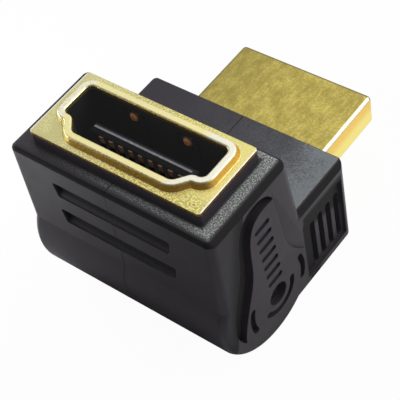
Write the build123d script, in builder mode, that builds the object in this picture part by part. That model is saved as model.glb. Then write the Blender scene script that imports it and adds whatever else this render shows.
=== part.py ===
from build123d import *
from math import atan, degrees, sqrt
import os

# Right angle video plug adapter: a moulded elbow with a socket on its top and a plug at its back.
# The origin is at the centre of the socket mouth, on the top face of the gold flange.
# +Z points out of the socket, +Y points the way the plug does, and X runs across the adapter.

# Socket mouth: a D shape, its wide side towards +Y, with shoulders stepping in to a narrow side
mouth_width = 14.0
mouth_height = 4.6
mouth_ledge_width = 1.0
mouth_slope_width = 1.05
mouth_slope_height = 1.3
mouth_corner_radius = 0.5
mouth_shoulder_radius = 0.8

# Sheet metal of both shells, and the play between pieces that slide together
sheet = 0.3
plug_play = 0.05
fit_gap = 0.05

# Flange and collar of the socket shell, their margins and widths being measured from the mouth
flange_side_margin = 1.5
flange_long_margin = 1.38
flange_corner_radius = 0.3
collar_top_width = 0.62
collar_foot_width = 0.92
collar_height = 0.58
collar_roll_radius = 0.13
mouth_lead_radius = 0.2

# Socket tube, its contact springs and its solder legs
socket_depth = 8.6
tube_standoff = 0.9
spring_spacing = 5.4
spring_width = 1.7
spring_length = 5.2
spring_slit = 0.3
spring_tip_depth = 0.45
spring_bump_depth = 1.0
spring_bump_radius = 0.5
spring_bump_rise = 0.22
leg_centre_y = 0.4
leg_spacing = 1.7
leg_width = 0.9
leg_drop = 0.8

# Socket tongue and its contacts
tongue_width = 10.4
tongue_thickness = 0.9
tongue_recess = 0.95
tongue_tip_chamfer = 0.3
contact_pitch = 1.0
wide_row_count = 10
narrow_row_count = 9
contact_width = 0.4
contact_thickness = 0.2
contact_proud = 0.08
contact_tip_recess = 0.5
contact_pin_drop = 0.8
pin_hole_diameter = 0.56

# Plug at the back, its insulator and its contacts
plug_centre_z = -13.05
plug_reach = 9.0
plug_root_length = 3.2
plug_lead_radius = 0.27
plug_seam_width = 0.08
plug_insulator_recess = 0.8
plug_slot_side_play = 0.5
plug_slot_flat_play = 0.17
plug_slot_depth = 6.6
plug_contact_width = 0.4
plug_contact_thickness = 0.22
plug_contact_tip_recess = 0.6
plug_contact_tail = 1.6

# Circuit board, which lies between the plug's two rows of contacts
board_thickness = 1.0
board_side_gap = 0.7
board_front_y = -3.6

# Moulded housing, outside, the rim's borders being measured from the flange
rim_side_border = 1.7
rim_front_border = 1.27
rim_back_border = 1.02
rim_drop = 1.3
seam_chamfer = 0.035
column_front_low_y = -5.15
column_back_low_y = 5.4
elbow_centre_y = 0.57
elbow_centre_z = -12.7
elbow_radius = 6.34
block_top_z = -8.34
block_bottom_z = -18.2
block_back_y = 11.74
column_edge_radius = 0.7
block_edge_radius = 0.7
block_back_edge_radius = 0.15
rim_edge_radius = 0.45
block_back_low_radius = 0.5

# Moulded housing, inside: walls, the board's rails, the plate that holds the socket, pins and bosses
wall = 1.3
top_plate = 1.8
back_wall = 2.4
rail_height = 3.2
rail_depth = 1.35
boss_diameter = 1.9
pin_diameter = 0.9
pin_length = 1.2

# Two grip grooves across the front of the column, their floors sloping out towards the bottom
groove_top_zs = (-3.45, -6.65)
groove_height = 1.6
groove_length = 12.0
groove_end_angle = 80
groove_depth = 0.5
groove_flat_height = 0.55
groove_corner_radius = 0.25

# Side of the block: a shallow pocket with four upright slots, its top and front walls sloping
pocket_front_y = 5.75
pocket_back_y = 11.0
pocket_top_z = -10.6
pocket_bottom_z = -17.1
pocket_depth = 0.35
pocket_wall_lean = 60
pocket_corner_radius = 0.4
slot_count = 4
slot_pitch = 1.15
slot_first_y = 6.93
slot_top_z = -11.55
slot_bottom_z = -16.95
slot_width = 0.68
slot_depth = 0.75

# Side of the column: a curved channel, a stepped shoulder, grip bars, a dimple and an arc groove
channel_depth = 0.55
channel_slope_run = 0.35
channel_top = (2.5, -3.7)
channel_foot = (-3.5, -15.7)
channel_outer = [(1.0, -2.3), (-0.8, -2.7), (-1.85, -4.8), (-2.2, -7.1), (-3.5, -10.65), (-4.1, -13.3)]
channel_inner = [(-2.86, -13.3), (-1.25, -9.2), (-0.87, -5.6), (0.0, -3.9), (1.2, -3.55)]
shoulder_depth = 0.24
shoulder_deepest = (3.1, -9.5)
shoulder_top = (2.4, -2.6)
shoulder_back_z = -12.7
leaf_edge = [(2.35, -2.1), (2.4, -3.9), (2.8, -6.8), (3.1, -9.5), (4.0, -11.5)]
leaf_end_z = -13.2
bar_count = 7
bar_pitch = 1.2
bar_first_y = 0.72
bar_first_z = -5.15
bar_lean = 0.07
bar_length = 1.9
bar_height = 0.55
bar_depth = 0.25
dimple_y = 1.15
dimple_z = -14.4
dimple_radius = 1.1
dimple_depth = 0.6
arc_radius = 1.95
arc_start = -140
arc_sweep = 140
outer_arc_radius = 3.5
outer_arc_sweep = 42
arc_groove_width = 0.6
arc_groove_depth = 0.45

# Values that follow from the driving ones
side_foot_y = mouth_slope_height - mouth_height / 2
mouth_shoulder_width = mouth_width - 2 * mouth_ledge_width
mouth_narrow_width = mouth_shoulder_width - 2 * mouth_slope_width
collar_lean = degrees(atan((collar_foot_width - collar_top_width) / collar_height))
flange_width = mouth_width + 2 * flange_side_margin
flange_depth = mouth_height + 2 * flange_long_margin
half_width = flange_width / 2 + rim_side_border
inner_half_width = half_width - wall
rim_front_y = -flange_depth / 2 - rim_front_border
rim_back_y = flange_depth / 2 + rim_back_border
rim_z = -rim_drop
top_plate_z = rim_z - top_plate
plug_tip_y = block_back_y + plug_reach
plug_root_y = block_back_y - plug_root_length
plug_slot_width = tongue_width + 2 * plug_slot_side_play
plug_slot_height = tongue_thickness + 2 * plug_slot_flat_play
board_width = 2 * (inner_half_width - board_side_gap)
board_top_z = plug_centre_z + board_thickness / 2
board_bottom_z = plug_centre_z - board_thickness / 2
board_back_y = plug_root_y
tube_bottom_z = board_top_z + tube_standoff
tongue_tip_z = -tongue_recess
contact_tip_z = tongue_tip_z - contact_tip_recess
contact_end_z = board_bottom_z - contact_pin_drop
contact_row_y = tongue_thickness / 2 + contact_proud - contact_thickness / 2
leg_end_z = board_bottom_z - leg_drop
leg_ys = (leg_centre_y - leg_spacing / 2, leg_centre_y + leg_spacing / 2)
insulator_tip_y = plug_tip_y - plug_insulator_recess
plug_contact_tip_y = insulator_tip_y - plug_contact_tip_recess
plug_contact_end_y = plug_root_y - plug_contact_tail
plug_row_z = board_thickness / 2 + plug_contact_thickness / 2
upper_boss_y = (mouth_height / 2 + sheet + plug_root_y) / 2
upper_boss_z = (board_top_z + block_top_z - wall) / 2
lower_boss_z = (contact_end_z + elbow_centre_z - elbow_radius + wall) / 2
boss_places = [(upper_boss_y, upper_boss_z), (elbow_centre_y, lower_boss_z)]
past_wall = 2.0


# Places of one row of contacts, centred on the adapter's middle plane
def row_places(count):
    return [contact_pitch * (i - (count - 1) / 2) for i in range(count)]


# Plane across the plug at a given y, its sketch's up being the plug's wide side
def plug_plane(y):
    return Plane(origin=(0, y, plug_centre_z), x_dir=(1, 0, 0), z_dir=(0, -1, 0))


# D shaped outline of the socket mouth
with BuildSketch() as mouth:
    with BuildLine():
        Polyline(
            (0, mouth_height / 2),
            (mouth_width / 2, mouth_height / 2),
            (mouth_width / 2, side_foot_y),
            (mouth_shoulder_width / 2, side_foot_y),
            (mouth_narrow_width / 2, -mouth_height / 2),
            (0, -mouth_height / 2),
        )
        mirror(about=Plane.YZ)
    make_face()
    side_corners = mouth.vertices().filter_by(lambda v: abs(v.X) > mouth_width / 2 - 0.01)
    fillet(side_corners, mouth_corner_radius)
    shoulders = mouth.vertices().filter_by_position(
        Axis.Y, -mouth_height / 2, side_foot_y, inclusive=(True, True)
    )
    shoulders = shoulders.filter_by(lambda v: abs(v.X) < mouth_shoulder_width / 2 + 0.01)
    fillet(shoulders, mouth_shoulder_radius)


# Draws the mouth's outline in the current sketch, grown outwards on every side
def draw_mouth(grow, mode=Mode.ADD):
    if grow == 0:
        add(mouth.sketch_local, mode=mode)
    else:
        offset(mouth.sketch_local, amount=grow, mode=mode)


# Socket shell: a drawn tube with a flange, a sloping collar, springs in its walls and solder legs
with BuildPart() as socket_shell:
    with BuildSketch(Plane.XY.offset(-sheet)):
        RectangleRounded(flange_width, flange_depth, flange_corner_radius)
    extrude(amount=sheet)
    with BuildSketch():
        draw_mouth(collar_foot_width)
    extrude(amount=collar_height, taper=collar_lean)
    fillet(socket_shell.faces().sort_by(Axis.Z)[-1].edges(), collar_roll_radius)
    with BuildSketch(Plane.XY.offset(tube_bottom_z)):
        draw_mouth(sheet)
    extrude(amount=-sheet - tube_bottom_z)
    with BuildSketch(Plane.XY.offset(collar_height)):
        draw_mouth(0)
    extrude(amount=tube_bottom_z - collar_height, mode=Mode.SUBTRACT)
    mouth_rim = socket_shell.faces().sort_by(Axis.Z)[-1].inner_wires()[0]
    fillet(mouth_rim.edges(), mouth_lead_radius)

    for wall_side in (1, -1):
        wall_plane = Plane(
            origin=(0, wall_side * mouth_height / 2, 0), x_dir=(1, 0, 0), z_dir=(0, -wall_side, 0)
        )
        up = wall_plane.y_dir.Z
        tip_v = -up * spring_tip_depth
        for spring_x in (-spring_spacing / 2, spring_spacing / 2):
            with BuildSketch(wall_plane):
                with Locations((spring_x, tip_v - up * spring_length / 2)):
                    Rectangle(spring_width + 2 * spring_slit, spring_length)
                with Locations((spring_x, tip_v - up * (spring_length + spring_slit) / 2)):
                    Rectangle(spring_width, spring_length - spring_slit, mode=Mode.SUBTRACT)
            extrude(amount=-sheet, mode=Mode.SUBTRACT)
            with BuildSketch(wall_plane):
                with Locations((spring_x, -up * spring_bump_depth)):
                    Circle(spring_bump_radius)
            extrude(amount=spring_bump_rise, taper=45)

    with BuildSketch(Plane.XY.offset(tube_bottom_z)):
        for leg_x in (-(mouth_width + sheet) / 2, (mouth_width + sheet) / 2):
            with Locations(*[(leg_x, y) for y in leg_ys]):
                Rectangle(sheet, leg_width)
    extrude(amount=leg_end_z - tube_bottom_z)


# Draws the sections of all socket contacts in the current sketch
def draw_contact_sections(mode=Mode.ADD):
    with Locations(*[(x, contact_row_y) for x in row_places(wide_row_count)]):
        Rectangle(contact_width, contact_thickness, mode=mode)
    with Locations(*[(x, -contact_row_y) for x in row_places(narrow_row_count)]):
        Rectangle(contact_width, contact_thickness, mode=mode)


# Socket insulator: a base that closes the tube's foot and a thin tongue between two contact rows
with BuildPart() as socket_insulator:
    with BuildSketch(Plane.XY.offset(board_top_z)):
        draw_mouth(0)
    extrude(amount=-socket_depth - board_top_z)
    with BuildSketch(Plane.XY.offset(-socket_depth)):
        Rectangle(tongue_width, tongue_thickness)
    extrude(amount=socket_depth - tongue_recess)
    tongue_tip = socket_insulator.faces().sort_by(Axis.Z)[-1]
    chamfer(tongue_tip.edges(), tongue_tip_chamfer)
    with BuildSketch(Plane.XY.offset(board_top_z)):
        draw_contact_sections()
    extrude(amount=contact_tip_z - board_top_z, mode=Mode.SUBTRACT)


# One socket contact: a straight strip with a chamfered tip, down through the board
def make_socket_contact(x, y):
    with BuildPart() as contact:
        with BuildSketch(Plane.XY.offset(contact_end_z)):
            with Locations((x, y)):
                Rectangle(contact_width, contact_thickness)
        extrude(amount=contact_tip_z - contact_end_z)
        foot = contact.faces().sort_by(Axis.Z)[0]
        chamfer(foot.edges().filter_by(Axis.X), contact_thickness / 4)
    return contact.part


socket_contact_places = [(x, contact_row_y) for x in row_places(wide_row_count)]
socket_contact_places += [(x, -contact_row_y) for x in row_places(narrow_row_count)]

# Plug shell: a folded tube with a rolled leading edge and an open seam along its narrow side
with BuildPart() as plug_shell:
    with BuildSketch(plug_plane(plug_root_y)):
        draw_mouth(-plug_play)
    extrude(amount=plug_root_y - plug_tip_y)
    fillet(plug_shell.faces().sort_by(Axis.Y)[-1].edges(), plug_lead_radius)
    with BuildSketch(plug_plane(plug_root_y)):
        draw_mouth(-plug_play - sheet)
        with Locations((0, -mouth_height / 2)):
            Rectangle(plug_seam_width, mouth_height)
    extrude(amount=plug_root_y - plug_tip_y, mode=Mode.SUBTRACT)


# Draws the sections of all plug contacts in the current sketch
def draw_plug_contact_sections():
    with Locations(*[(x, plug_row_z) for x in row_places(wide_row_count)]):
        Rectangle(plug_contact_width, plug_contact_thickness)
    with Locations(*[(x, -plug_row_z) for x in row_places(narrow_row_count)]):
        Rectangle(plug_contact_width, plug_contact_thickness)


# Plug insulator: fills the plug's shell, with a slot that takes a socket's tongue
with BuildPart() as plug_insulator:
    with BuildSketch(plug_plane(plug_root_y)):
        draw_mouth(-plug_play - sheet)
    extrude(amount=plug_root_y - insulator_tip_y)
    with BuildSketch(plug_plane(insulator_tip_y)):
        Rectangle(plug_slot_width, plug_slot_height)
    extrude(amount=plug_slot_depth, mode=Mode.SUBTRACT)
    with BuildSketch(plug_plane(plug_root_y)):
        draw_plug_contact_sections()
    extrude(amount=plug_root_y - plug_contact_tip_y, mode=Mode.SUBTRACT)


# One plug contact: a straight strip from the board's pad to near the tip of the insulator
def make_plug_contact(x, z):
    with BuildPart() as contact:
        with BuildSketch(plug_plane(plug_contact_end_y)):
            with Locations((x, z)):
                Rectangle(plug_contact_width, plug_contact_thickness)
        extrude(amount=plug_contact_end_y - plug_contact_tip_y)
        ends = contact.edges().filter_by(Axis.Z)
        chamfer(ends, plug_contact_width / 6)
    return contact.part


plug_contact_places = [(x, plug_row_z) for x in row_places(wide_row_count)]
plug_contact_places += [(x, -plug_row_z) for x in row_places(narrow_row_count)]

# Circuit board: pin holes for the socket's contacts and slots for its shell's legs
with BuildPart() as circuit_board:
    with BuildSketch(Plane.XY.offset(board_bottom_z)):
        with Locations((0, (board_front_y + board_back_y) / 2)):
            Rectangle(board_width, board_back_y - board_front_y)
        with Locations(*socket_contact_places):
            Circle(pin_hole_diameter / 2, mode=Mode.SUBTRACT)
        for leg_x in (-(mouth_width + sheet) / 2, (mouth_width + sheet) / 2):
            with Locations(*[(leg_x, y) for y in leg_ys]):
                Rectangle(sheet + 2 * fit_gap, leg_width + 2 * fit_gap, mode=Mode.SUBTRACT)
    extrude(amount=board_thickness)


# Side outline of the column and the elbow under it, the front face leaning out as it goes down
crease_rise = sqrt(elbow_radius**2 - (column_front_low_y - elbow_centre_y) ** 2)
crease_z = elbow_centre_z + crease_rise
elbow_end_y = elbow_centre_y + sqrt(elbow_radius**2 - (block_bottom_z - elbow_centre_z) ** 2)
with BuildSketch() as column_outline:
    with BuildLine():
        Polyline(
            (elbow_end_y, block_bottom_z),
            (column_back_low_y, block_bottom_z),
            (column_back_low_y, block_top_z),
            (rim_back_y, rim_z),
            (rim_front_y, rim_z),
            (column_front_low_y, crease_z),
        )
        ThreePointArc(
            (column_front_low_y, crease_z),
            (elbow_centre_y, elbow_centre_z - elbow_radius),
            (elbow_end_y, block_bottom_z),
        )
    make_face()

# Side outline of the block that carries the plug
with BuildSketch() as block_outline:
    with Locations(((elbow_centre_y + block_back_y) / 2, (block_top_z + block_bottom_z) / 2)):
        Rectangle(block_back_y - elbow_centre_y, block_top_z - block_bottom_z)

# Outline of the arc grooves around the dimple on the column's side
with BuildSketch() as arc_grooves:
    dimple = (dimple_y, dimple_z)
    SlotArc(CenterArc(dimple, arc_radius, arc_start, arc_sweep), arc_groove_width)
    for middle in (0, 180):
        outer_start = middle - outer_arc_sweep / 2
        SlotArc(CenterArc(dimple, outer_arc_radius, outer_start, outer_arc_sweep), arc_groove_width)

# Pocket on the side of the block, its lower and back walls upright
with BuildPart() as pocket:
    with BuildSketch(Plane.YZ.offset(half_width - pocket_depth)):
        with Locations(((pocket_front_y + pocket_back_y) / 2, (pocket_top_z + pocket_bottom_z) / 2)):
            RectangleRounded(
                pocket_back_y - pocket_front_y, pocket_top_z - pocket_bottom_z, pocket_corner_radius
            )
    extrude(amount=past_wall, taper=-pocket_wall_lean)
    with BuildSketch(Plane.YZ.offset(half_width - pocket_depth)):
        with Locations((pocket_back_y, pocket_bottom_z)):
            Rectangle(2 * half_width, 2 * half_width, align=(Align.MAX, Align.MIN))
    extrude(amount=past_wall, mode=Mode.INTERSECT)

# One half of the housing, from the middle plane to the +X side, with a fine bevel along the seam
with BuildPart() as column:
    with BuildSketch(Plane.YZ):
        add(column_outline.sketch_local)
    extrude(amount=half_width)
    fillet(column.faces().sort_by(Axis.X)[-1].edges(), column_edge_radius)
    rim_edges = column.faces().sort_by(Axis.Z)[-1].edges()
    fillet(rim_edges.filter_by(lambda e: e.center().X > 0.01), rim_edge_radius)
    chamfer(column.faces().sort_by(Axis.X)[0].edges(), seam_chamfer)

with BuildPart() as block:
    with BuildSketch(Plane.YZ):
        add(block_outline.sketch_local)
    extrude(amount=half_width)
    back_low_edge = block.edges().filter_by(Axis.X).sort_by(Axis.Z)[:2].sort_by(Axis.Y)[-1]
    fillet(back_low_edge, block_back_low_radius)
    block_side = block.faces().sort_by(Axis.X)[-1]
    fillet(block_side.edges().filter_by(Axis.Y), block_edge_radius)
    block_back = block.faces().sort_by(Axis.Y)[-1]
    fillet(block_back.edges().filter_by(lambda e: e.center().X > 0.01), block_back_edge_radius)
    chamfer(block.faces().sort_by(Axis.X)[0].edges(), seam_chamfer)

# Grip grooves across the front, from their side profile and then their outline
with BuildPart() as grip_grooves:
    with BuildSketch(Plane.YZ.offset(-groove_length / 2)):
        for groove_top_z in groove_top_zs:
            with BuildLine():
                Polyline(
                    (rim_front_y - past_wall, groove_top_z),
                    (rim_front_y + groove_depth, groove_top_z),
                    (rim_front_y + groove_depth, groove_top_z - groove_flat_height),
                    (rim_front_y, groove_top_z - groove_height),
                    (rim_front_y - past_wall, groove_top_z - groove_height),
                    close=True,
                )
            make_face()
    extrude(amount=groove_length)
    with BuildSketch(Plane.XZ.offset(-rim_front_y - groove_depth)):
        with Locations(*[(0, z - groove_height / 2) for z in groove_top_zs]):
            Trapezoid(groove_length, groove_height, groove_end_angle, rotation=180)
        fillet(vertices(), groove_corner_radius)
    extrude(amount=past_wall, mode=Mode.INTERSECT)

# Space above the shoulder behind the raised leaf, which slopes down towards the leaf's foot
shoulder_start = Vector(half_width, *shoulder_top)
along_shoulder = Vector(half_width, pocket_front_y, shoulder_back_z) - shoulder_start
down_shoulder = Vector(half_width - shoulder_depth, *shoulder_deepest) - shoulder_start
with BuildPart() as above_shoulder:
    with BuildSketch(Plane.YZ.offset(half_width - 2 * shoulder_depth)):
        with BuildLine():
            leaf = Spline(*leaf_edge, (pocket_front_y, leaf_end_z))
            Polyline(leaf @ 1, (pocket_front_y, leaf_edge[0][1]), leaf @ 0)
        make_face()
    extrude(amount=past_wall)
    split(
        bisect_by=Plane(shoulder_start, along_shoulder, down_shoulder.cross(along_shoulder)),
        keep=Keep.TOP,
    )

with BuildPart() as half_shell:
    add(column.part)
    add(block.part)
    with BuildSketch(Plane.XY.offset(rim_z - seam_chamfer)):
        RectangleRounded(flange_width, flange_depth, flange_corner_radius)
    extrude(amount=-sheet - rim_z + seam_chamfer)
    split(bisect_by=Plane.YZ, keep=Keep.TOP)

    # Room inside for the tube, the board and the solder joints
    with BuildSketch(Plane.YZ):
        add(column_outline.sketch_local)
        add(block_outline.sketch_local)
        offset(amount=-wall)
        with Locations((0, top_plate_z)):
            Rectangle(4 * half_width, 2 * half_width, align=(Align.CENTER, Align.MIN), mode=Mode.SUBTRACT)
        with Locations((block_back_y - back_wall, elbow_centre_z)):
            Rectangle(2 * half_width, 4 * half_width, align=(Align.MIN, Align.CENTER), mode=Mode.SUBTRACT)
    extrude(amount=inner_half_width, mode=Mode.SUBTRACT)

    # Bosses that meet those of the other half
    with BuildSketch(Plane.YZ):
        with Locations(*boss_places):
            Circle(boss_diameter / 2)
    extrude(amount=inner_half_width)

    # Rail with a groove for the edge of the board
    with BuildSketch(Plane.YZ.offset(inner_half_width - rail_depth)):
        with Locations(((board_front_y + board_back_y) / 2, plug_centre_z)):
            Rectangle(board_back_y - board_front_y, rail_height)
    extrude(amount=rail_depth)
    with BuildSketch(Plane.YZ):
        with Locations((board_front_y - fit_gap, plug_centre_z)):
            Rectangle(
                board_back_y - board_front_y + fit_gap,
                board_thickness + 2 * fit_gap,
                align=(Align.MIN, Align.CENTER),
            )
    extrude(amount=board_width / 2 + fit_gap, mode=Mode.SUBTRACT)

    # Bores for the socket's tube and the plug's shell
    with BuildSketch(Plane.XY.offset(-sheet)):
        draw_mouth(sheet + fit_gap)
    extrude(amount=top_plate_z + sheet, mode=Mode.SUBTRACT)
    with BuildSketch(plug_plane(block_back_y)):
        draw_mouth(fit_gap - plug_play)
    extrude(amount=back_wall, mode=Mode.SUBTRACT)

    # Pocket and upright slots on the side of the block
    add(pocket.part, mode=Mode.SUBTRACT)
    with BuildSketch(Plane.YZ.offset(half_width - slot_depth)):
        slot_middle_z = (slot_top_z + slot_bottom_z) / 2
        with Locations(*[(slot_first_y + slot_pitch * i, slot_middle_z) for i in range(slot_count)]):
            SlotOverall(slot_top_z - slot_bottom_z, slot_width, rotation=90)
    extrude(amount=past_wall, mode=Mode.SUBTRACT)

    # Curved channel down the front edge of the side, its outer wall sloping and its inner one steep
    for across, run in ((half_width - channel_depth, 0), (half_width + fit_gap, channel_slope_run)):
        with BuildSketch(Plane.YZ.offset(across)):
            with BuildLine():
                Spline(channel_top, *[(y - run, z + run / 2) for y, z in channel_outer], channel_foot)
                Spline(channel_foot, *channel_inner, channel_top)
            make_face()
    loft(ruled=True, mode=Mode.SUBTRACT)

    # Grip grooves, shoulder, grip bars, dimple and arc grooves
    add(grip_grooves.part, mode=Mode.SUBTRACT)
    add(above_shoulder.part, mode=Mode.SUBTRACT)
    with BuildSketch(Plane.YZ.offset(half_width - bar_depth)):
        for i in range(bar_count):
            with Locations((bar_first_y + bar_lean * i, bar_first_z - bar_pitch * i)):
                SlotOverall(bar_length, bar_height)
    extrude(amount=past_wall, mode=Mode.SUBTRACT)
    with BuildSketch(Plane.YZ.offset(half_width - dimple_depth)):
        with Locations((dimple_y, dimple_z)):
            Circle(dimple_radius)
    extrude(amount=past_wall, mode=Mode.SUBTRACT)
    with BuildSketch(Plane.YZ.offset(half_width - arc_groove_depth)):
        add(arc_grooves.sketch_local)
    extrude(amount=past_wall, mode=Mode.SUBTRACT)

# Right half, with two locating pins on its bosses
with BuildPart() as housing_right:
    add(half_shell.part)
    with BuildSketch(Plane.YZ):
        with Locations(*boss_places):
            Circle(pin_diameter / 2)
    extrude(amount=-pin_length)
    chamfer(housing_right.faces().sort_by(Axis.X)[:2].edges(), fit_gap)

# Left half, the mirror image with a hole for each pin
with BuildPart() as housing_left:
    mirror(half_shell.part, about=Plane.YZ)
    with BuildSketch(Plane.YZ):
        with Locations(*boss_places):
            Circle(pin_diameter / 2 + fit_gap)
    extrude(amount=-pin_length - fit_gap, mode=Mode.SUBTRACT)

os.makedirs("parts", exist_ok=True)


# Labels a finished piece and writes its file
def write_piece(piece, name):
    piece.label = name
    export_step(piece, f"parts/{name}.step")


write_piece(housing_right.part, "housing_right")
write_piece(housing_left.part, "housing_left")
write_piece(socket_shell.part, "socket_shell")
write_piece(socket_insulator.part, "socket_insulator")
write_piece(plug_shell.part, "plug_shell")
write_piece(plug_insulator.part, "plug_insulator")
write_piece(circuit_board.part, "circuit_board")
for number, (x, y) in enumerate(socket_contact_places, start=1):
    write_piece(make_socket_contact(x, y), f"socket_contact_{number:02d}")
for number, (x, z) in enumerate(plug_contact_places, start=1):
    write_piece(make_plug_contact(x, z), f"plug_contact_{number:02d}")
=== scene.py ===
from math import radians

import bmesh
import bpy
from mathutils import Matrix, Vector

# Looks of a right angle video plug adapter: black moulded elbow, gold socket on top, gold plug behind
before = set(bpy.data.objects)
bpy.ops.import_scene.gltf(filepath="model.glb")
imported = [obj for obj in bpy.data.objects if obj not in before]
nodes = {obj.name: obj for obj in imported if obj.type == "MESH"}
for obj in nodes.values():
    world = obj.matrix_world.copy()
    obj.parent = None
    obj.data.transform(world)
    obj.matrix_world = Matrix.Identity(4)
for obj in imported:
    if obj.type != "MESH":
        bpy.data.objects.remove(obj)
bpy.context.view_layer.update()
scene = bpy.context.scene
MM = 0.001


def grey(level):
    return (level, level, level, 1)


# Places and lengths below are in millimetres: across is X from left to right, along is Y towards the plug's tip,
# height is Z. A pair of them is where a mask starts and where it is full, and a pair of such pairs is a mask's
# two soft ends.

# Camera, solved in pixels of a picture 400 wide
CAMERA_PLACE = (51.240, -41.720, 68.488)
CAMERA_RIGHT = (0.7857465, 0.5983456, -0.1567957)
CAMERA_UP = (-0.3862764, 0.6726468, 0.6311392)
CAMERA_BACK = (0.4831076, -0.4353490, 0.7596567)
CAMERA_RANGE = (5, 10000)
FOCAL_PIXELS = 1243.534
PICTURE_WIDTH = 400
SENSOR_WIDTH = 36

# Socket: its collar's lip, its flange's underside, its springs' bumps, and the tips of its tongue and contacts
LIP_TOP = 0.58
FLANGE_UNDER = (-0.32, -0.36)
BUMP_ACROSS = 2.7
BUMP_HEIGHT = -1.0
BUMP_REACH = (0.50, 0.30)
TONGUE_TIP = -0.95
CONTACT_TIP = -1.45

# Half the size of the socket's flange and of the plinth under it, across and along
FLANGE_HALF = (8.5, 3.68)

# Plug: its tip, its half width, and the heights between which the painted reflection on its side turns orange
PLUG_TIP = 20.74
PLUG_HALF = 6.95
PLUG_SIDE_HEIGHT = (-12.8, -11.6)

# Rim round the plinth: its outer sides, its height, and its rounded edge's height
RIM_SIDE = 10.2
RIM_FRONT = -4.95
RIM_HEIGHT = (-1.6, -1.3)
RIM_EDGE_HEIGHT = (-2.6, -2.2)

# Block: its flat top, and where its top edge is rounded
BLOCK_TOP = ((-8.7, -8.5), (-7.9, -8.1))
BLOCK_EDGE_HEIGHT = ((-9.5, -9.1), (-7.9, -8.2))
BLOCK_EDGE_START = (5.0, 5.3)

# Front face: its place at height 0, how far it leans out per millimetre down, and its grip grooves
FRONT_FACE = -4.95
FRONT_LEAN = 0.018
GROOVE_DEPTH = ((0.10, 0.34), (0.9, 0.7))
GROOVE_END = (6.5, 6.3)
GROOVE_HEIGHT = ((-9.0, -8.8), (-3.0, -3.2))

# Sides: their face and how deep under it the channel and the slots are darkened with painted shade
SIDE_FACE = 10.2
SIDE_DEPTH = ((0.27, 0.50), (1.4, 1.2))

# Strip of painted shade before the channel: the channel's front edge at height 0, its lean, and the strip's
# width and shade
CHANNEL_EDGE = -0.58
CHANNEL_LEAN = 0.265
STRIP_WIDTH = (2.0, 0.1)
STRIP_SHADE = (0.6, 0.95)
STRIP_BACK = (-0.2, 0.0)
STRIP_ASIDE = (9.0, 9.4)

# Pocket in the block's side: its top and front, its soft ends, and how far from them its walls are darkened with
# painted shade
POCKET_TOP = -9.3
POCKET_FRONT = 5.5
POCKET_SLANT = -0.35
POCKET_TOP_END = (-0.5, 0.5)
POCKET_FRONT_END = (-0.4, 0.2)
POCKET_BACK_END = (11.1, 11.0)
POCKET_UNDER_TOP = (3.2, 1.6)
POCKET_BEHIND_FRONT = (2.1, 1.2)

# Rest on the table: the elbow's round underside and the block's lower back edge touch it
FLOOR_TILT = 4.6
FLOOR_TOUCH = (0, 1.08, -19.03)
FLOOR_RADIUS = 700
FLOOR_CORNERS = 96

# Floor's share of glow where the camera sees it, and its shade in reflections: dim in front of the adapter,
# and dark in spots near it, each with its place, its shade and its inner and outer reach
SEEN_GLOW = 0.96
FLOOR_FRONT = (-45, -22)
FLOOR_FRONT_SHADE = 0.25
DARK_SPOTS = (
    ((-2, -17, -20), 0.58, 9, 21),
    ((0, -3, -19), 0.04, 6, 13),
)

# Painted pool of light on the floor, glowing, which the plug's side shows
BRIGHT_SPOT = (13, 21, -17.4)
BRIGHT_REACH = (12, 5)
BRIGHT_GLOW = 0.85

# Surround's bright side and half bright side: direction, cosines between which it brightens, and levels there
BRIGHT_SIDES = (
    ((-0.0995, 0.597, 0.796), (0.3, 1.0), (0.15, 1.0)),
    ((0.90, 0.41, 0.15), (0.5, 1.0), (0.15, 0.75)),
)

# Soft lamps: name, direction from the point they aim at, distance, width and watts
LAMP_AIM = (0, 5, -8)
SOFTBOXES = (
    ("key_softbox", (0.45, 0.66, 0.60), 300, 120, 0.12),
    ("left_softbox", (-0.92, -0.38, 0.0), 42, 36, 0.0112),
    ("side_softbox", (0.735, 0.435, 0.482), 300, 120, 0.16),
)

# Stretch that a noise's values mostly lie in
NOISE_STRETCH = (0.3, 0.7)

# Cosines between the rounded and the plain normal on a crisp edge
CRISP_EDGE = (0.995, 0.85)

# Parts of the surface's normal, as masks: nearly level, facing a side, and turning from a flat top to upright
LEVEL = (0.93, 0.995)
FACES_ASIDE = (0.5, 0.8)
EDGE_TURNS = ((0.97, 0.85), (0.02, 0.15))

# Colours of the black plastic, its painted sheen, its rubbed and highlit edges, its painted shade and glow, its
# reflections
PLASTIC_DARK = (0.021, 0.020, 0.025, 1)
PLASTIC_LIGHT = (0.032, 0.026, 0.033, 1)
PLASTIC_TOP_SHEEN = (0.21, 0.235, 0.25, 1)
PLASTIC_RIM_SHEEN = (0.60, 0.65, 0.61, 1)
PLASTIC_RUBBED_HIGHLIGHT = (0.06, 0.057, 0.062, 1)
PLASTIC_RECESS_SHADE = grey(0.003)
PLASTIC_GLOW = (0.0032, 0.0030, 0.0035, 1)
RECESS_GLOW = grey(0.001)
PLASTIC_REFLECTION = (1.0, 0.93, 1.0, 1)

# Colours of the insulators, a painted highlight on the tongue's tip, and a faint painted glow
INSULATOR_DARK = (0.011, 0.011, 0.012, 1)
INSULATOR_LIGHT = (0.017, 0.016, 0.017, 1)
INSULATOR_TIP_HIGHLIGHT = (0.34, 0.33, 0.40, 1)
INSULATOR_GLOW = grey(0.008)

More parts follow.
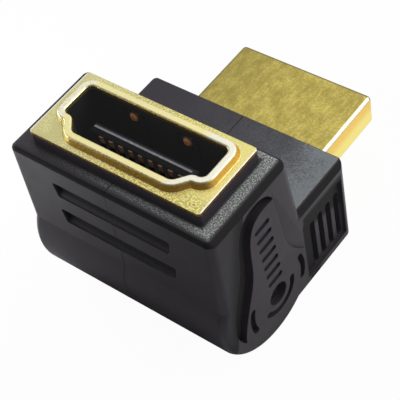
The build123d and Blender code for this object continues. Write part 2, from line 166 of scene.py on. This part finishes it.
# Colours of the socket's flange, its painted highlight line, its cut edge's painted shade, and its worn and
# highlit edges
PALE_LEFT = (0.84, 0.80, 0.42, 1)
PALE_RIGHT = (1.0, 0.90, 0.34, 1)
PALE_OLIVE = (0.56, 0.54, 0.25, 1)
DULL_LEFT = (0.66, 0.60, 0.27, 1)
DULL_RIGHT = (0.46, 0.38, 0.12, 1)
FLANGE_HIGHLIGHT_LINE = (1.0, 0.97, 0.84, 1)
FLANGE_CUT_SHADE = (0.40, 0.20, 0.06, 1)
SOCKET_WORN_HIGHLIGHT = (1.0, 0.97, 0.78, 1)

# Colours of its collar: the wall's painted shade, the lip's painted highlights, and the mouth's painted shade
# and glow
WALL_SHADE_LOW = (0.70, 0.41, 0.075, 1)
WALL_SHADE_HIGH = (0.98, 0.72, 0.25, 1)
WALL_SHADE_LEFT = (0.60, 0.52, 0.21, 1)
LIP_DULL = (0.92, 0.82, 0.48, 1)
LIP_MIDDLE_HIGHLIGHT = (1.0, 0.93, 0.40, 1)
LIP_ENDS_HIGHLIGHT = (1.0, 0.99, 0.88, 1)
MOUTH_SHADE = grey(0.006)
MOUTH_GLOW = grey(0.008)
BUMP = (0.78, 0.33, 0.12, 1)

# Colours of the plug, its painted reflection and highlight, its far edges' painted shade, and its worn and
# highlit edges
PLUG_DARK = (0.47, 0.37, 0.085, 1)
PLUG_LIGHT = (0.74, 0.61, 0.155, 1)
PLUG_SPECKS = (0.22, 0.19, 0.08, 1)
PLUG_LEFT = (0.20, 0.17, 0.05, 1)
PLUG_SIDE_LOW_REFLECTION = (0.96, 0.82, 0.24, 1)
PLUG_SIDE_HIGH_REFLECTION = (0.93, 0.62, 0.12, 1)
PLUG_CORNER_HIGHLIGHT = (1.0, 0.98, 0.85, 1)
PLUG_FAR_EDGE_SHADE = (0.20, 0.15, 0.05, 1)
PLUG_WORN_HIGHLIGHT = (1.0, 0.92, 0.66, 1)

# Colours of the contacts, with painted shade below their tips, and of the board, and the radians per metre of
# the board's weave
CONTACT_DARK = (0.74, 0.44, 0.31, 1)
CONTACT_LIGHT = (0.95, 0.60, 0.43, 1)
CONTACT_DEPTH_SHADE = (0.030, 0.024, 0.021, 1)
BOARD_DARK = (0.02, 0.16, 0.06, 1)
BOARD_LIGHT = (0.03, 0.22, 0.09, 1)
BOARD_WEAVE = (0.10, 0.32, 0.16, 1)
WEAVE_TURN = 9000.0


def put(tree, kind, inputs=None, **settings):
    """A node of that kind, its settings set and its inputs linked or given a value."""
    made = tree.nodes.new(kind)
    for name, value in settings.items():
        setattr(made, name, value)
    for name, value in (inputs or {}).items():
        if isinstance(value, bpy.types.NodeSocket):
            tree.links.new(value, made.inputs[name])
        else:
            made.inputs[name].default_value = value
    return made


def maths(tree, operation, first, second=0.0, third=0.0):
    return put(tree, "ShaderNodeMath", {0: first, 1: second, 2: third}, operation=operation).outputs[0]


def less(tree, first, second):
    return maths(tree, "SUBTRACT", first, second)


def times(tree, first, *others):
    """The product of some masks."""
    for other in others:
        first = maths(tree, "MULTIPLY", first, other)
    return first


def most(tree, first, *others):
    """The largest of some masks."""
    for other in others:
        first = maths(tree, "MAXIMUM", first, other)
    return first


def from_vectors(tree, operation, first, second):
    """A number from two vectors: their dot product or their distance."""
    return put(tree, "ShaderNodeVectorMath", {0: first, 1: second}, operation=operation).outputs["Value"]


def spread(tree, value, low, high, to_low=0.0, to_high=1.0):
    """value's stretch from low to high, mapped smoothly to another stretch."""
    given = {"Value": value, "From Min": low, "From Max": high, "To Min": to_low, "To Max": to_high}
    return put(tree, "ShaderNodeMapRange", given, interpolation_type="SMOOTHSTEP").outputs[0]


def fade(tree, length, start, full, to_start=0.0, to_full=1.0):
    """The same for a length, its stretch being given in millimetres."""
    return spread(tree, length, start * MM, full * MM, to_start, to_full)


def band(tree, length, rise, fall):
    """A mask of the lengths between two soft ends."""
    return times(tree, fade(tree, length, *rise), fade(tree, length, *fall))


def blend_colours(tree, share, first, second):
    return put(tree, "ShaderNodeMix", {0: share, 6: first, 7: second}, data_type="RGBA").outputs[2]


def noise(tree, where, scale, detail=2.0, roughness=0.5):
    given = {"Vector": where, "Scale": scale, "Detail": detail, "Roughness": roughness}
    return put(tree, "ShaderNodeTexNoise", given).outputs["Fac"]


def varied(tree, texture, low, high):
    """A noise, its values mapped to the stretch from low to high."""
    return spread(tree, texture, *NOISE_STRETCH, low, high)


def object_place(tree):
    return put(tree, "ShaderNodeTexCoord").outputs["Object"]


def surface_normal(tree):
    return put(tree, "ShaderNodeNewGeometry").outputs["Normal"]


def axes(tree, vector):
    return put(tree, "ShaderNodeSeparateXYZ", {0: vector}).outputs


def new_group(name, inputs, outputs):
    """An empty effect with named number inputs and named outputs."""
    group = bpy.data.node_groups.new(name, "ShaderNodeTree")
    for label, value in inputs:
        group.interface.new_socket(label, in_out="INPUT", socket_type="NodeSocketFloat").default_value = value
    for label, kind in outputs:
        group.interface.new_socket(label, in_out="OUTPUT", socket_type=kind)
    return group, group.nodes.new("NodeGroupInput").outputs, group.nodes.new("NodeGroupOutput").inputs


def use_group(tree, group, **values):
    made = put(tree, "ShaderNodeGroup", node_tree=group)
    for label, value in values.items():
        made.inputs[label].default_value = value
    return made.outputs


# Grain: the fine pebbled texture of moulded plastic or plated sheet, and slow patches over it
grain, taken, given = new_group(
    "grain",
    (("Scale", 5000.0), ("PatchScale", 300.0)),
    (("Height", "NodeSocketFloat"), ("Patch", "NodeSocketFloat")),
)
place = object_place(grain)
fine = noise(grain, place, taken["Scale"], detail=3.0, roughness=0.65)
grain.links.new(fine, given["Height"])
patch = noise(grain, place, taken["PatchScale"], detail=3.0, roughness=0.55)
grain.links.new(patch, given["Patch"])

# Worn and highlit edge: the rounded normal of a crisp edge, and a mask that is 1 on it, broken up by small wear;
# materials lighten it as wear and as a painted highlight
worn_highlit_edge, taken, given = new_group(
    "worn_highlit_edge",
    (("Radius", 0.06 * MM), ("WearScale", 900.0)),
    (("Normal", "NodeSocketVector"), ("Edge", "NodeSocketFloat")),
)
rounded = put(worn_highlit_edge, "ShaderNodeBevel", {"Radius": taken["Radius"]}, samples=6).outputs[0]
agree = from_vectors(worn_highlit_edge, "DOT_PRODUCT", rounded, surface_normal(worn_highlit_edge))
on_edge = spread(worn_highlit_edge, agree, *CRISP_EDGE)
wear = spread(worn_highlit_edge, noise(worn_highlit_edge, object_place(worn_highlit_edge), taken["WearScale"]), 0.35, 0.65)
worn_highlit_edge.links.new(rounded, given["Normal"])
worn_highlit_edge.links.new(times(worn_highlit_edge, on_edge, wear), given["Edge"])

# Painted sheen: a mask of the faces that look up, whole and in fine specks
upward_sheen, taken, given = new_group(
    "upward_sheen",
    (("Scale", 4500.0), ("Least", 0.2)),
    (("Mask", "NodeSocketFloat"), ("Up", "NodeSocketFloat")),
)
looks_up = spread(upward_sheen, axes(upward_sheen, surface_normal(upward_sheen))["Z"], *LEVEL)
fine = noise(upward_sheen, object_place(upward_sheen), taken["Scale"], detail=3.0, roughness=0.75)
specks = most(upward_sheen, spread(upward_sheen, fine, 0.42, 0.62), taken["Least"])
upward_sheen.links.new(times(upward_sheen, looks_up, specks), given["Mask"])
upward_sheen.links.new(looks_up, given["Up"])


def new_material(name):
    made = bpy.data.materials.new(name)
    made.use_nodes = True
    return made, made.node_tree, made.node_tree.nodes["Principled BSDF"]


def set_surface(tree, shader, **values):
    """Links or sets the shader's sockets, their names written with underscores for spaces."""
    for name, value in values.items():
        socket = shader.inputs[name.replace("_", " ")]
        if isinstance(value, bpy.types.NodeSocket):
            tree.links.new(value, socket)
        else:
            socket.default_value = value


def bumped(tree, height, distance, strength, normal=None):
    """A normal with small bumps, distance being their height in millimetres."""
    given = {"Height": height, "Distance": distance * MM, "Strength": strength}
    if normal is not None:
        given["Normal"] = normal
    return put(tree, "ShaderNodeBump", given).outputs[0]


def recess_shade(tree):
    """A mask of painted shade: the deep parts of grooves, channel, slots and pocket, and rounded edges that turn
    away.
    """
    across, along, height = axes(tree, object_place(tree))
    sideways, _, upward = axes(tree, surface_normal(tree))
    aside = maths(tree, "ABSOLUTE", across)

    # Grip grooves, by their depth behind the leaning front face
    face = maths(tree, "MULTIPLY_ADD", height, FRONT_LEAN, FRONT_FACE * MM)
    in_groove = times(
        tree,
        band(tree, less(tree, along, face), *GROOVE_DEPTH),
        fade(tree, aside, *GROOVE_END),
        band(tree, height, *GROOVE_HEIGHT),
    )

    # Channel, slots and dimple, by their depth under the side's face
    in_side = band(tree, less(tree, SIDE_FACE * MM, aside), *SIDE_DEPTH)

    # Pocket, dark under its top and behind its front
    from_top = less(tree, POCKET_TOP * MM, height)
    from_front = less(tree, along, POCKET_FRONT * MM)
    slanted = maths(tree, "MULTIPLY_ADD", from_front, POCKET_SLANT, from_top)
    in_pocket = times(
        tree,
        most(tree, fade(tree, slanted, *POCKET_UNDER_TOP), fade(tree, from_front, *POCKET_BEHIND_FRONT)),
        fade(tree, from_top, *POCKET_TOP_END),
        fade(tree, from_front, *POCKET_FRONT_END),
        fade(tree, along, *POCKET_BACK_END),
    )

    # Strip before the channel
    channel_edge = maths(tree, "MULTIPLY_ADD", height, CHANNEL_LEAN, CHANNEL_EDGE * MM)
    ahead = less(tree, channel_edge, along)
    on_strip = times(
        tree,
        fade(tree, ahead, *STRIP_WIDTH, *STRIP_SHADE),
        fade(tree, ahead, *STRIP_BACK),
        fade(tree, aside, *STRIP_ASIDE),
    )
    looks_aside = spread(tree, maths(tree, "ABSOLUTE", sideways), *FACES_ASIDE)
    on_sides = times(tree, most(tree, in_side, in_pocket, on_strip), looks_aside)

    # Rounded edges of the rim and of the block's top
    turning = times(tree, *(spread(tree, upward, *end) for end in EDGE_TURNS))
    block_edge = times(tree, band(tree, height, *BLOCK_EDGE_HEIGHT), fade(tree, along, *BLOCK_EDGE_START))
    at_top = most(tree, fade(tree, height, *RIM_EDGE_HEIGHT), block_edge)
    return most(tree, in_groove, on_sides, times(tree, turning, at_top))


def moulded_plastic():
    """Black plastic with a fine moulded grain, a painted sheen in specks on its flat tops, and crisp edges
    rubbed and painted with a highlight.
    """
    made, tree, shader = new_material("moulded_plastic")
    texture = use_group(tree, grain, Scale=7000.0, PatchScale=260.0)
    edge = use_group(tree, worn_highlit_edge, Radius=0.06 * MM, WearScale=700.0)
    top = use_group(tree, upward_sheen, Scale=8500.0, Least=0.12)
    shade = recess_shade(tree)
    across, along, height = axes(tree, object_place(tree))
    aside = maths(tree, "ABSOLUTE", across)

    # Painted sheen in specks on the rim, between the plinth and the rim's rounded edge
    on_rim = fade(tree, height, *RIM_HEIGHT)
    from_plinth = most(
        tree,
        less(tree, aside, FLANGE_HALF[0] * MM),
        less(tree, maths(tree, "ABSOLUTE", along), FLANGE_HALF[1] * MM),
    )
    to_edge = maths(
        tree, "MINIMUM", less(tree, RIM_SIDE * MM, aside), less(tree, along, RIM_FRONT * MM)
    )
    speckled_sheen = times(
        tree, top["Mask"], fade(tree, from_plinth, 0.05, 0.35), fade(tree, to_edge, 0.3, 0.8), on_rim
    )

    # Painted sheen, clouded, on the block's top, stronger towards its right edge
    hazy_sheen = times(
        tree,
        varied(tree, texture["Patch"], 0.25, 0.60),
        fade(tree, across, 4.5, 9.4, 0.62, 3.5),
        spread(tree, texture["Height"], 0.35, 0.65, 0.55, 1.45),
        top["Up"],
        band(tree, height, *BLOCK_TOP),
    )

    # Both painted sheens are thin on the left
    painted_sheen = times(tree, most(tree, speckled_sheen, hazy_sheen), fade(tree, across, -9.0, 8.0, 0.05, 1.0))
    sheen_colour = blend_colours(tree, on_rim, PLASTIC_TOP_SHEEN, PLASTIC_RIM_SHEEN)
    # Edges lightened by rubbing and by a painted highlight, but not in the painted shade
    rubbed_highlight = times(tree, edge["Edge"], spread(tree, shade, 0.3, 0.0, 0.0, 0.3))
    colour = blend_colours(tree, texture["Patch"], PLASTIC_DARK, PLASTIC_LIGHT)
    # Painted sheen, rubbed and highlit edges, and painted shade in the recesses, over the plastic's own colour
    for share, added in ((painted_sheen, sheen_colour), (rubbed_highlight, PLASTIC_RUBBED_HIGHLIGHT), (shade, PLASTIC_RECESS_SHADE)):
        colour = blend_colours(tree, share, colour, added)
    set_surface(
        tree, shader,
        Base_Color=colour,
        Roughness=most(tree, varied(tree, texture["Patch"], 0.42, 0.52), times(tree, shade, 0.75)),
        Specular_IOR_Level=0.35,
        Specular_Tint=PLASTIC_REFLECTION,
        # A faint painted glow, dimmer in the painted shade
        Emission_Color=blend_colours(tree, shade, PLASTIC_GLOW, RECESS_GLOW),
        Emission_Strength=1.0,
        Normal=bumped(tree, texture["Height"], 0.02, 0.35, edge["Normal"]),
    )
    return made


def smooth_insulator():
    """Smooth black plastic, with a painted highlight along the flat tip of the tongue."""
    made, tree, shader = new_material("smooth_insulator")
    texture = use_group(tree, grain, Scale=3000.0, PatchScale=500.0)
    edge = use_group(tree, worn_highlit_edge, Radius=0.03 * MM, WearScale=900.0)
    top = use_group(tree, upward_sheen, Scale=3000.0, Least=0.7)
    _, along, height = axes(tree, object_place(tree))
    body = blend_colours(tree, texture["Patch"], INSULATOR_DARK, INSULATOR_LIGHT)
    on_tip_highlight = times(
        tree,
        fade(tree, height, TONGUE_TIP - 0.04, TONGUE_TIP - 0.01),
        fade(tree, along, 0.08, 0.0),
        top["Mask"],
    )
    set_surface(
        tree, shader,
        Base_Color=blend_colours(tree, on_tip_highlight, body, INSULATOR_TIP_HIGHLIGHT),
        Roughness=varied(tree, texture["Patch"], 0.4, 0.5),
        Specular_IOR_Level=0.2,
        Emission_Color=INSULATOR_GLOW,
        Emission_Strength=1.0,
        Normal=bumped(tree, texture["Height"], 0.01, 0.3, edge["Normal"]),
    )
    return made


def plated_socket():
    """Pale gold plating with a speckled sheen, painted shade inside the mouth but for the spring bumps, and
    painted highlights and shade on its collar and edges.
    """
    made, tree, shader = new_material("plated_socket")
    texture = use_group(tree, grain, Scale=6000.0, PatchScale=420.0)
    edge = use_group(tree, worn_highlit_edge, Radius=0.08 * MM, WearScale=900.0)
    place = object_place(tree)
    normal = surface_normal(tree)
    across, along, height = axes(tree, place)
    upward = axes(tree, normal)["Z"]
    aside = maths(tree, "ABSOLUTE", across)

    # Painted shade inside: walls below the lip that look to the mouth's middle, and all that is below the flange
    level_place = put(tree, "ShaderNodeVectorMath", {0: place, 1: (1, 1, 0)}, operation="MULTIPLY").outputs[0]
    inward = fade(tree, from_vectors(tree, "DOT_PRODUCT", level_place, normal), -0.1, -0.8)
    deep = fade(tree, height, LIP_TOP - 0.22, LIP_TOP - 0.42)
    shaded_inside = most(tree, times(tree, inward, deep), fade(tree, height, *FLANGE_UNDER))

    # Spring bumps, round, kept out of the painted shade
    beside_bump = maths(tree, "POWER", less(tree, aside, BUMP_ACROSS * MM), 2.0)
    above_bump = maths(tree, "POWER", less(tree, height, BUMP_HEIGHT * MM), 2.0)
    from_bump = maths(tree, "SQRT", maths(tree, "ADD", beside_bump, above_bump))
    shaded_hollow = blend_colours(tree, fade(tree, from_bump, *BUMP_REACH), MOUTH_SHADE, BUMP)

    # Flange: pale with dull specks, smooth towards the right, mottled olive on the left
    smooth = times(tree, fade(tree, across, -2.0, 9.0, 0.0, 0.75), fade(tree, along, -3.2, -1.6))
    specks = most(tree, spread(tree, texture["Height"], 0.43, 0.57), smooth)
    mottle = times(tree, spread(tree, texture["Patch"], 0.60, 0.42), fade(tree, across, -3.5, -6.5, 0.0, 0.6))
    pale = blend_colours(tree, fade(tree, across, -9.0, 4.0), PALE_LEFT, PALE_RIGHT)
    pale = blend_colours(tree, mottle, pale, PALE_OLIVE)
    dull = blend_colours(tree, fade(tree, across, -9.0, 2.0), DULL_LEFT, DULL_RIGHT)

    # Collar's sloping wall: painted shade and dark reflection, brown, lighter under the lip, olive on the left
    on_wall_shade = times(tree, spread(tree, upward, 0.8, 0.65), fade(tree, height, 0.0, 0.06))
    wall_shade = blend_colours(tree, fade(tree, height, 0.36, 0.56), WALL_SHADE_LOW, WALL_SHADE_HIGH)
    wall_shade = blend_colours(tree, fade(tree, across, -4.2, -5.4), wall_shade, WALL_SHADE_LEFT)

    # Flange's edge: a painted highlight line on its left and right, and painted shade on the cut of the sheet
    # below
    to_side = less(tree, FLANGE_HALF[0] * MM, aside)
    on_highlight_line = times(tree, fade(tree, to_side, 0.14, 0.08), spread(tree, upward, 0.5, 0.7))
    on_cut_shade = times(tree, spread(tree, upward, 0.5, 0.3), fade(tree, height, 0.0, -0.05))

    # Lip, rubbed and painted with a highlight, nearly white at the collar's two ends
    on_lip = fade(tree, height, LIP_TOP - 0.12, LIP_TOP - 0.03)
    at_ends = most(tree, fade(tree, across, 4.0, 5.2), fade(tree, across, -6.2, -6.9))
    rubbed_highlight = blend_colours(tree, at_ends, LIP_MIDDLE_HIGHLIGHT, LIP_ENDS_HIGHLIGHT)
    lip_highlight = blend_colours(tree, specks, LIP_DULL, rubbed_highlight)

    # Edges lightened by wear and by a painted highlight, but not on the cut's painted shade
    worn_highlight = times(tree, edge["Edge"], spread(tree, on_cut_shade, 0.5, 0.0, 0.0, 0.85))
    bare = blend_colours(tree, specks, dull, pale)
    for share, added in (
        (on_wall_shade, wall_shade), (on_highlight_line, FLANGE_HIGHLIGHT_LINE), (on_cut_shade, FLANGE_CUT_SHADE), (on_lip, lip_highlight), (worn_highlight, SOCKET_WORN_HIGHLIGHT),
    ):
        bare = blend_colours(tree, share, bare, added)
    sheen = spread(tree, texture["Height"], 0.35, 0.65, 0.26, 0.42)
    set_surface(
        tree, shader,
        Base_Color=blend_colours(tree, shaded_inside, bare, shaded_hollow),
        Emission_Color=blend_colours(tree, shaded_inside, grey(0), MOUTH_GLOW),
        Emission_Strength=1.0,
        Metallic=less(tree, 1.0, shaded_inside),
        Roughness=most(tree, sheen, times(tree, shaded_inside, 0.85)),
        Specular_IOR_Level=0.3,
        Normal=bumped(tree, texture["Height"], 0.02, 0.75, edge["Normal"]),
    )
    return made


def plated_plug():
    """Deeper gold plating, mottled, with streaks along the plug from sliding in and out."""
    made, tree, shader = new_material("plated_plug")
    texture = use_group(tree, grain, Scale=4800.0, PatchScale=900.0)
    edge = use_group(tree, worn_highlit_edge, Radius=0.06 * MM, WearScale=900.0)
    place = object_place(tree)
    across, along, height = axes(tree, place)
    upward = axes(tree, surface_normal(tree))["Z"]

    # Mottled body: half streaks, half patches
    stretched = put(tree, "ShaderNodeMapping", {"Vector": place, "Scale": (1, 0.25, 1)}).outputs[0]
    streaks = noise(tree, stretched, 2600.0, detail=3.0, roughness=0.6)
    mottle = maths(tree, "MULTIPLY_ADD", streaks, 0.5, times(tree, texture["Patch"], 0.5))
    body = blend_colours(tree, spread(tree, mottle, 0.33, 0.67), PLUG_DARK, PLUG_LIGHT)

    # Dark specks, a darker left half, and painted reflection on the upright sides, more orange higher up
    specks = spread(tree, texture["Height"], 0.38, 0.62, 0.4, 0.0)
    to_left = fade(tree, across, 1.0, -7.0, 0.0, 0.3)
    upright_reflection = spread(tree, upward, 0.5, 0.2)
    side = blend_colours(tree, fade(tree, height, *PLUG_SIDE_HEIGHT), PLUG_SIDE_LOW_REFLECTION, PLUG_SIDE_HIGH_REFLECTION)

    # Rounded upper corners: a painted highlight on the right, painted shade at the tip and on the left
    corner = times(tree, spread(tree, upward, 0.96, 0.8), spread(tree, upward, 0.25, 0.5))
    corner_highlight = times(tree, corner, fade(tree, across, 0.0, 1.0))
    far_edge_shade = times(
        tree,
        most(
            tree,
            fade(tree, along, PLUG_TIP - 0.35, PLUG_TIP - 0.15),
            fade(tree, across, 0.25 - PLUG_HALF, 0.05 - PLUG_HALF),
        ),
        spread(tree, upward, 0.25, 0.45),
    )
    # Edges lightened by wear and by a painted highlight, but not on the far edges' painted shade
    worn_highlight = times(tree, edge["Edge"], spread(tree, far_edge_shade, 0.5, 0.0, 0.0, 0.6))
    for share, added in (
        (specks, PLUG_SPECKS), (to_left, PLUG_LEFT), (upright_reflection, side),
        (corner_highlight, PLUG_CORNER_HIGHLIGHT), (far_edge_shade, PLUG_FAR_EDGE_SHADE), (worn_highlight, PLUG_WORN_HIGHLIGHT),
    ):
        body = blend_colours(tree, share, body, added)
    set_surface(
        tree, shader,
        Base_Color=body,
        Metallic=1.0,
        Roughness=varied(tree, texture["Height"], 0.28, 0.42),
        Normal=bumped(tree, texture["Height"], 0.01, 0.4, edge["Normal"]),
    )
    return made


def contact_plating():
    """Copper-gold contact strip, in the socket bright at the tip and painted with shade below it, where light
    falls off.
    """
    made, tree, shader = new_material("contact_plating")
    texture = use_group(tree, grain, Scale=3000.0, PatchScale=900.0)
    height = axes(tree, object_place(tree))["Z"]

    # The socket's contacts are above 9 mm under its mouth, the plug's are below
    # Painted shade below the tips of the socket's contacts
    depth_shade = times(
        tree, fade(tree, height, -9.0, -8.0), fade(tree, height, CONTACT_TIP - 0.45, CONTACT_TIP - 0.85)
    )
    body = blend_colours(tree, texture["Patch"], CONTACT_DARK, CONTACT_LIGHT)
    set_surface(
        tree, shader,
        Base_Color=blend_colours(tree, depth_shade, body, CONTACT_DEPTH_SHADE),
        Metallic=fade(tree, height, -9.0, -8.5, 1.0, 0.35),
        Roughness=varied(tree, texture["Height"], 0.4, 0.55),
        Specular_IOR_Level=0.3,
        Normal=bumped(tree, texture["Height"], 0.01, 0.3),
    )
    return made


def board_laminate():
    """Green glass-fibre laminate with the faint square weave of its cloth."""
    made, tree, shader = new_material("board_laminate")
    texture = use_group(tree, grain, Scale=3000.0, PatchScale=400.0)
    across, along, _ = axes(tree, object_place(tree))
    warp, weft = (maths(tree, "SINE", times(tree, way, WEAVE_TURN)) for way in (across, along))
    weave = maths(tree, "MULTIPLY_ADD", times(tree, warp, weft), 0.5, 0.5)
    body = blend_colours(tree, texture["Patch"], BOARD_DARK, BOARD_LIGHT)
    set_surface(
        tree, shader,
        Base_Color=blend_colours(tree, times(tree, weave, 0.25), body, BOARD_WEAVE),
        Roughness=varied(tree, texture["Patch"], 0.3, 0.4),
        Normal=bumped(tree, weave, 0.01, 0.3),
    )
    return made


# Each node takes the finish whose key is in its name
finishes = {
    "housing": moulded_plastic(),
    "socket_shell": plated_socket(),
    "plug_shell": plated_plug(),
    "insulator": smooth_insulator(),
    "contact": contact_plating(),
    "board": board_laminate(),
}
for name, node in nodes.items():
    finish = next(made for key, made in finishes.items() if key in name)
    node.data.materials.clear()
    node.data.materials.append(finish)


def make_camera():
    """The photograph's camera."""
    camera = bpy.data.objects.new("camera", bpy.data.cameras.new("camera"))
    scene.collection.objects.link(camera)
    turn = Matrix((CAMERA_RIGHT, CAMERA_UP, CAMERA_BACK)).transposed().to_4x4()
    camera.matrix_world = Matrix.Translation(Vector(CAMERA_PLACE) * MM) @ turn
    camera.data.sensor_width = SENSOR_WIDTH
    camera.data.lens = SENSOR_WIDTH * FOCAL_PIXELS / PICTURE_WIDTH
    camera.data.clip_start, camera.data.clip_end = (reach * MM for reach in CAMERA_RANGE)
    scene.camera = camera


def floor_material():
    """Nearly white to the camera, and in reflections darker in front of the adapter and near it."""
    made, tree, shader = new_material("pale_floor")
    seen = put(tree, "ShaderNodeLightPath").outputs["Is Camera Ray"]
    place = object_place(tree)
    shade = fade(tree, axes(tree, place)["Y"], *FLOOR_FRONT, FLOOR_FRONT_SHADE)
    for spot, least, inner, outer in DARK_SPOTS:
        from_spot = from_vectors(tree, "DISTANCE", place, Vector(spot) * MM)
        shade = times(tree, shade, fade(tree, from_spot, inner, outer, least))
    unseen = blend_colours(tree, shade, grey(0), grey(0.92))
    colour = blend_colours(tree, seen, unseen, grey(0.95))
    set_surface(tree, shader, Base_Color=colour, Roughness=0.9, Specular_IOR_Level=0.1)
    white = put(tree, "ShaderNodeEmission", {"Color": grey(1), "Strength": 1.0}).outputs[0]
    from_spot = from_vectors(tree, "DISTANCE", place, Vector(BRIGHT_SPOT) * MM)
    glow = most(tree, times(tree, seen, SEEN_GLOW), fade(tree, from_spot, *BRIGHT_REACH, 0.0, BRIGHT_GLOW))
    mixed = put(tree, "ShaderNodeMixShader", {0: glow, 1: shader.outputs[0], 2: white}).outputs[0]
    tree.links.new(mixed, tree.nodes["Material Output"].inputs["Surface"])
    return made


def make_floor():
    """A large disc that leans as the table does when the adapter rests on its elbow and block."""
    disc = bmesh.new()
    bmesh.ops.create_circle(disc, cap_ends=True, segments=FLOOR_CORNERS, radius=FLOOR_RADIUS * MM)
    bmesh.ops.rotate(disc, verts=disc.verts, matrix=Matrix.Rotation(radians(FLOOR_TILT), 3, "X"))
    bmesh.ops.translate(disc, verts=disc.verts, vec=Vector(FLOOR_TOUCH) * MM)
    floor = bpy.data.objects.new("floor", bpy.data.meshes.new("floor"))
    disc.to_mesh(floor.data)
    disc.free()
    floor.data.materials.append(floor_material())
    scene.collection.objects.link(floor)


def make_world():
    """Soft surround, bright over and behind the adapter, dim in front of it, seen as white."""
    world = bpy.data.worlds.new("studio")
    world.use_nodes = True
    tree = world.node_tree
    surround = tree.nodes["Background"]
    direction = put(tree, "ShaderNodeTexCoord").outputs["Generated"]
    level = put(tree, "ShaderNodeLightPath").outputs["Is Camera Ray"]
    for side, cosines, levels in BRIGHT_SIDES:
        towards = from_vectors(tree, "DOT_PRODUCT", direction, side)
        level = most(tree, level, spread(tree, towards, *cosines, *levels))
    tree.links.new(level, surround.inputs["Strength"])
    surround.inputs["Color"].default_value = grey(1)
    scene.world = world


def make_softbox(name, direction, distance, width, power):
    """A square soft lamp in a direction from the adapter, facing it."""
    lamp = bpy.data.lights.new(name, "AREA")
    lamp.size = width * MM
    lamp.energy = power
    box = bpy.data.objects.new(name, lamp)
    away = Vector(direction).normalized()
    box.location = (Vector(LAMP_AIM) + away * distance) * MM
    box.rotation_euler = away.to_track_quat("Z", "Y").to_euler()
    box.visible_camera = False
    scene.collection.objects.link(box)


make_camera()
make_floor()
make_world()
for softbox in SOFTBOXES:
    make_softbox(*softbox)

scene.view_settings.view_transform = "Standard"
